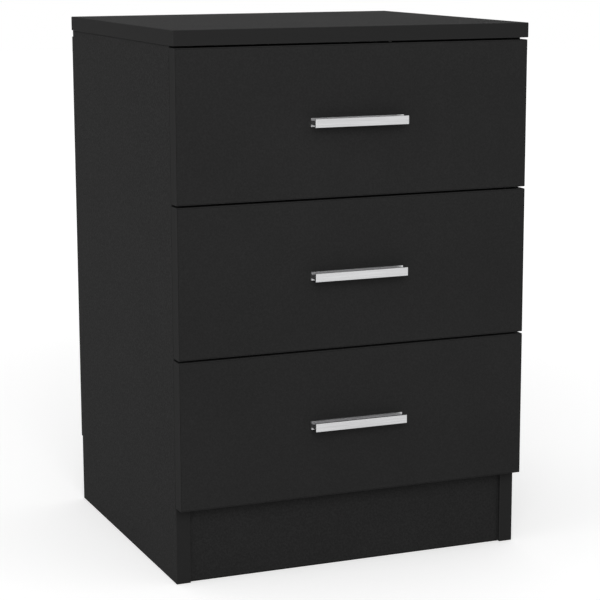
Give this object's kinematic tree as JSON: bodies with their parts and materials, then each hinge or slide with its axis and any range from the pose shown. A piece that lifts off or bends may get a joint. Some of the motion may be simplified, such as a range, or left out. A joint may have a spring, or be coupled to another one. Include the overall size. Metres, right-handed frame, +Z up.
{
  "type": "nightstand with drawers",
  "caption": "Small upright nightstand in black board with full-width drawers that slide out on roller runners, bar handles and a recessed plinth.",
  "frame": {"origin": "on the floor, under the centre of the overall box with the handles", "axes": "+Z up, -Y to the front, where the drawers open, +X to the right seen from the front"},
  "size_m": [0.38, 0.3644, 0.55],
  "materials": {
    "black_board": "black melamine facing with a fine grain emboss, satin",
    "back_hardboard": "thin hardboard, black lacquer",
    "drawer_hardboard": "thin hardboard, black lacquer, matt",
    "satin_aluminium": "extruded, brushed lengthways and anodised",
    "runner_steel": "rolled steel, white powder coat",
    "roller_nylon": "moulded nylon",
    "zinc_steel": "bright zinc plate",
    "zinc_cam": "die-cast zinc, dull",
    "beech_dowel": "plain beech"
  },
  "bodies": {
    "carcass": {"top_panel": "black_board", "left_side_panel": "black_board", "right_side_panel": "black_board", "bottom_panel": "black_board", "plinth": "black_board", "back_panel": "back_hardboard", "carcass_cam_locks": "zinc_cam", "carcass_cam_bolts": "zinc_steel", "carcass_wood_dowels": "beech_dowel", "back_panel_nails": "zinc_steel", "cabinet_roller_pins": "zinc_steel", "cabinet_runner_screws": "zinc_steel", "lower_cabinet_left_runner": "runner_steel", "lower_cabinet_right_runner": "runner_steel", "middle_cabinet_left_runner": "runner_steel", "middle_cabinet_right_runner": "runner_steel", "upper_cabinet_left_runner": "runner_steel", "upper_cabinet_right_runner": "runner_steel"},
    "lower_drawer": {"lower_drawer_front": "black_board", "lower_drawer_left_side": "black_board", "lower_drawer_right_side": "black_board", "lower_drawer_back": "black_board", "lower_drawer_bottom": "drawer_hardboard", "lower_drawer_left_runner": "runner_steel", "lower_drawer_right_runner": "runner_steel", "lower_drawer_cam_locks": "zinc_cam", "lower_drawer_cam_bolts": "zinc_steel", "lower_drawer_screws": "zinc_steel", "lower_handle": "satin_aluminium", "lower_handle_screws": "zinc_steel"},
    "lower_cabinet_rollers": {"lower_cabinet_rollers": "roller_nylon"},
    "lower_drawer_rollers": {"lower_drawer_rollers": "roller_nylon"},
    "middle_drawer": {"middle_drawer_front": "black_board", "middle_drawer_left_side": "black_board", "middle_drawer_right_side": "black_board", "middle_drawer_back": "black_board", "middle_drawer_bottom": "drawer_hardboard", "middle_drawer_left_runner": "runner_steel", "middle_drawer_right_runner": "runner_steel", "middle_drawer_cam_locks": "zinc_cam", "middle_drawer_cam_bolts": "zinc_steel", "middle_drawer_screws": "zinc_steel", "middle_handle": "satin_aluminium", "middle_handle_screws": "zinc_steel"},
    "middle_cabinet_rollers": {"middle_cabinet_rollers": "roller_nylon"},
    "middle_drawer_rollers": {"middle_drawer_rollers": "roller_nylon"},
    "upper_drawer": {"upper_drawer_front": "black_board", "upper_drawer_left_side": "black_board", "upper_drawer_right_side": "black_board", "upper_drawer_back": "black_board", "upper_drawer_bottom": "drawer_hardboard", "upper_drawer_left_runner": "runner_steel", "upper_drawer_right_runner": "runner_steel", "upper_drawer_cam_locks": "zinc_cam", "upper_drawer_cam_bolts": "zinc_steel", "upper_drawer_screws": "zinc_steel", "upper_handle": "satin_aluminium", "upper_handle_screws": "zinc_steel"},
    "upper_cabinet_rollers": {"upper_cabinet_rollers": "roller_nylon"},
    "upper_drawer_rollers": {"upper_drawer_rollers": "roller_nylon"}
  },
  "joints": [
    {"name": "lower_drawer_slide", "type": "slide", "parent": "carcass", "child": "lower_drawer", "axis": [0, -1, 0], "range_m": [0, 0.22]},
    {"name": "lower_cabinet_rollers_turn", "type": "hinge", "parent": "carcass", "child": "lower_cabinet_rollers", "pos_m": [0, -0.13925, 0.10865], "axis": [1, 0, 0], "range_deg": [0, 1577]},
    {"name": "lower_drawer_rollers_turn", "type": "hinge", "parent": "lower_drawer", "child": "lower_drawer_rollers", "pos_m": [0, 0.13475, 0.10805], "axis": [1, 0, 0], "range_deg": [0, 1577]},
    {"name": "middle_drawer_slide", "type": "slide", "parent": "carcass", "child": "middle_drawer", "axis": [0, -1, 0], "range_m": [0, 0.22]},
    {"name": "middle_cabinet_rollers_turn", "type": "hinge", "parent": "carcass", "child": "middle_cabinet_rollers", "pos_m": [0, -0.13925, 0.26065], "axis": [1, 0, 0], "range_deg": [0, 1577]},
    {"name": "middle_drawer_rollers_turn", "type": "hinge", "parent": "middle_drawer", "child": "middle_drawer_rollers", "pos_m": [0, 0.13475, 0.26005], "axis": [1, 0, 0], "range_deg": [0, 1577]},
    {"name": "upper_drawer_slide", "type": "slide", "parent": "carcass", "child": "upper_drawer", "axis": [0, -1, 0], "range_m": [0, 0.22]},
    {"name": "upper_cabinet_rollers_turn", "type": "hinge", "parent": "carcass", "child": "upper_cabinet_rollers", "pos_m": [0, -0.13925, 0.41265], "axis": [1, 0, 0], "range_deg": [0, 1577]},
    {"name": "upper_drawer_rollers_turn", "type": "hinge", "parent": "upper_drawer", "child": "upper_drawer_rollers", "pos_m": [0, 0.13475, 0.41205], "axis": [1, 0, 0], "range_deg": [0, 1577]}
  ],
  "couplings": [
    {"joint": "lower_cabinet_rollers_turn", "follows": "lower_drawer_slide", "rad_per_m": 125},
    {"joint": "lower_drawer_rollers_turn", "follows": "lower_drawer_slide", "rad_per_m": 125},
    {"joint": "middle_cabinet_rollers_turn", "follows": "middle_drawer_slide", "rad_per_m": 125},
    {"joint": "middle_drawer_rollers_turn", "follows": "middle_drawer_slide", "rad_per_m": 125},
    {"joint": "upper_cabinet_rollers_turn", "follows": "upper_drawer_slide", "rad_per_m": 125},
    {"joint": "upper_drawer_rollers_turn", "follows": "upper_drawer_slide", "rad_per_m": 125}
  ]
}
